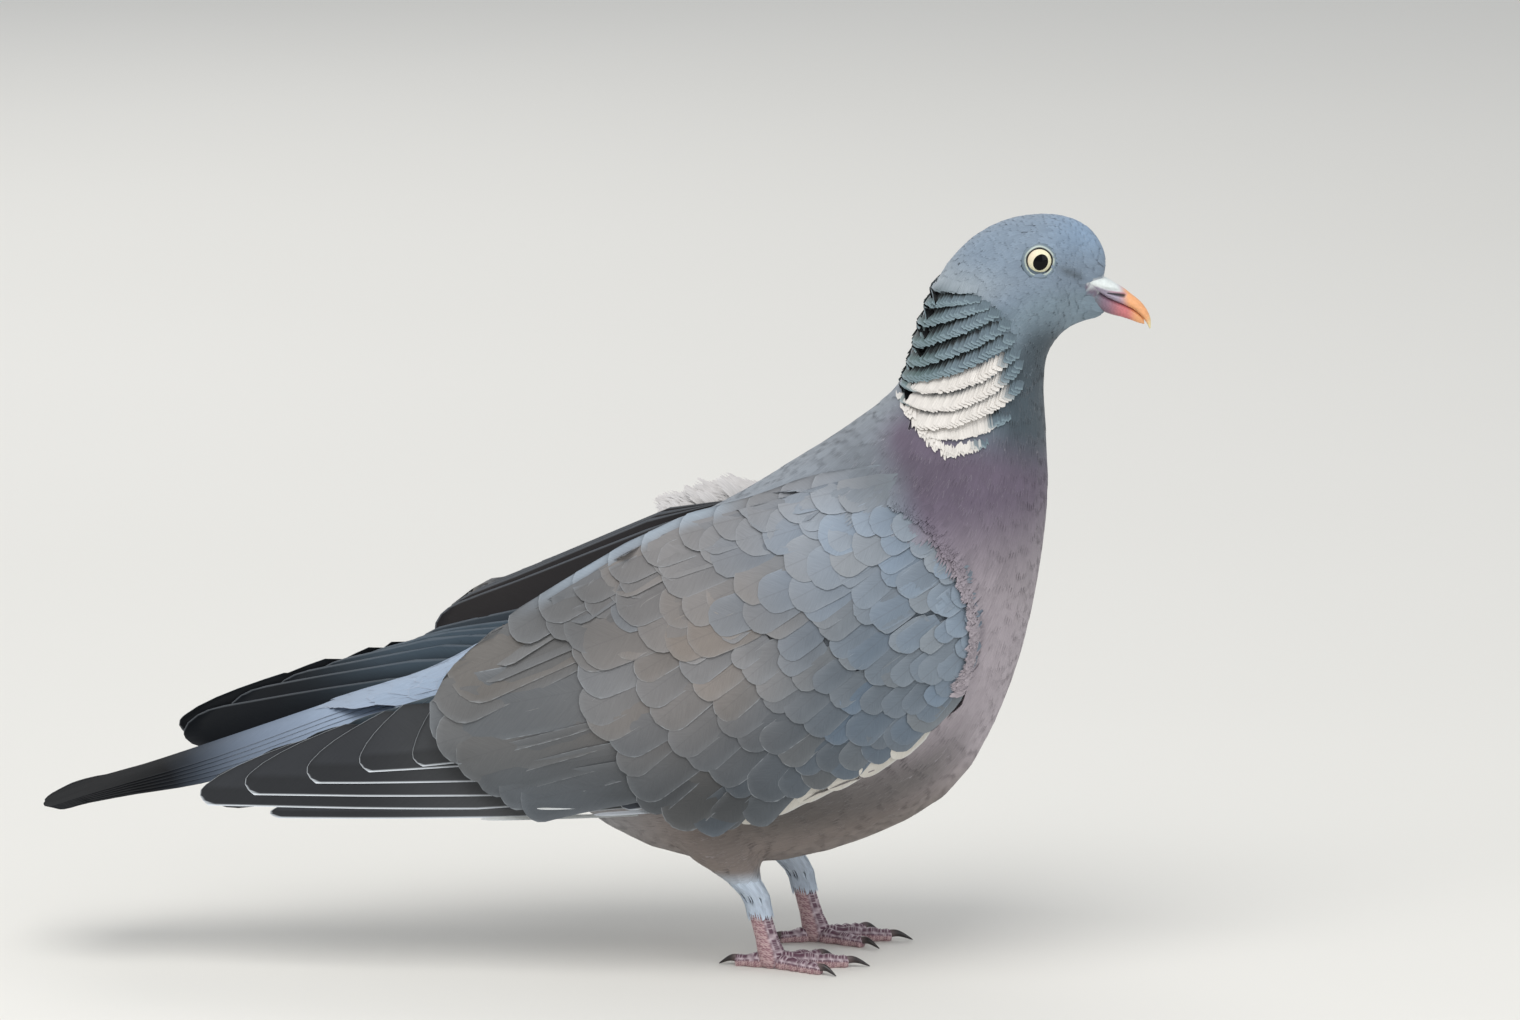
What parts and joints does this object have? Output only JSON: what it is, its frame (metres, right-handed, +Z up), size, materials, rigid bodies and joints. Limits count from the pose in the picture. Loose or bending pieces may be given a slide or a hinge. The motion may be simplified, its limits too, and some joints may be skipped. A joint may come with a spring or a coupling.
{
  "type": "common wood pigeon",
  "caption": "Life-size still model of a standing adult common wood pigeon with folded wings, neck patch, hooked bill and scaled feet.",
  "frame": {"origin": "middle of the bird's bounding box on the plane its feet stand on", "axes": "+X from the tail towards the bill, -Y the bird's right side, +Z up"},
  "size_m": [0.3529, 0.1072, 0.2397],
  "materials": {
    "plumage_head": "short soft slate-blue feathers",
    "plumage_neck": "ridged feathers, dark green-blue with a cream-white patch",
    "plumage_body": "soft vinous pink to grey feathers",
    "plumage_wing": "grey scalloped covert feathers with thin pale edges",
    "plumage_flight": "stiff dark slate flight feathers with white outer edges",
    "plumage_tail": "stiff tail feathers, blue-grey with a blackish end",
    "plumage_shank": "short pale blue-grey leg feathers",
    "bill_horn": "smooth horn, white cere, pink sides, orange to pale yellow tip",
    "eye": "wet gloss, pale cream-yellow iris and black pupil",
    "foot_skin": "scaly reddish-purple skin with white scale edges",
    "claw_horn": "smooth dark horn"
  },
  "bodies": {
    "root": {"bill_lower": "bill_horn", "bill_upper": "bill_horn", "claw_hind_left": "claw_horn", "claw_hind_right": "claw_horn", "claw_inner_left": "claw_horn", "claw_inner_right": "claw_horn", "claw_middle_left": "claw_horn", "claw_middle_right": "claw_horn", "claw_outer_left": "claw_horn", "claw_outer_right": "claw_horn", "eye_left": "eye", "eye_right": "eye", "head": "plumage_head", "neck": "plumage_neck", "primaries_left": "plumage_flight", "primaries_right": "plumage_flight", "shank_left": "plumage_shank", "shank_right": "plumage_shank", "tail": "plumage_tail", "tarsus_left": "foot_skin", "tarsus_right": "foot_skin", "tertials_left": "plumage_wing", "tertials_right": "plumage_wing", "toe_hind_left": "foot_skin", "toe_hind_right": "foot_skin", "toe_inner_left": "foot_skin", "toe_inner_right": "foot_skin", "toe_middle_left": "foot_skin", "toe_middle_right": "foot_skin", "toe_outer_left": "foot_skin", "toe_outer_right": "foot_skin", "trunk": "plumage_body", "wing_left": "plumage_wing", "wing_right": "plumage_wing"}
  },
  "joints": []
}
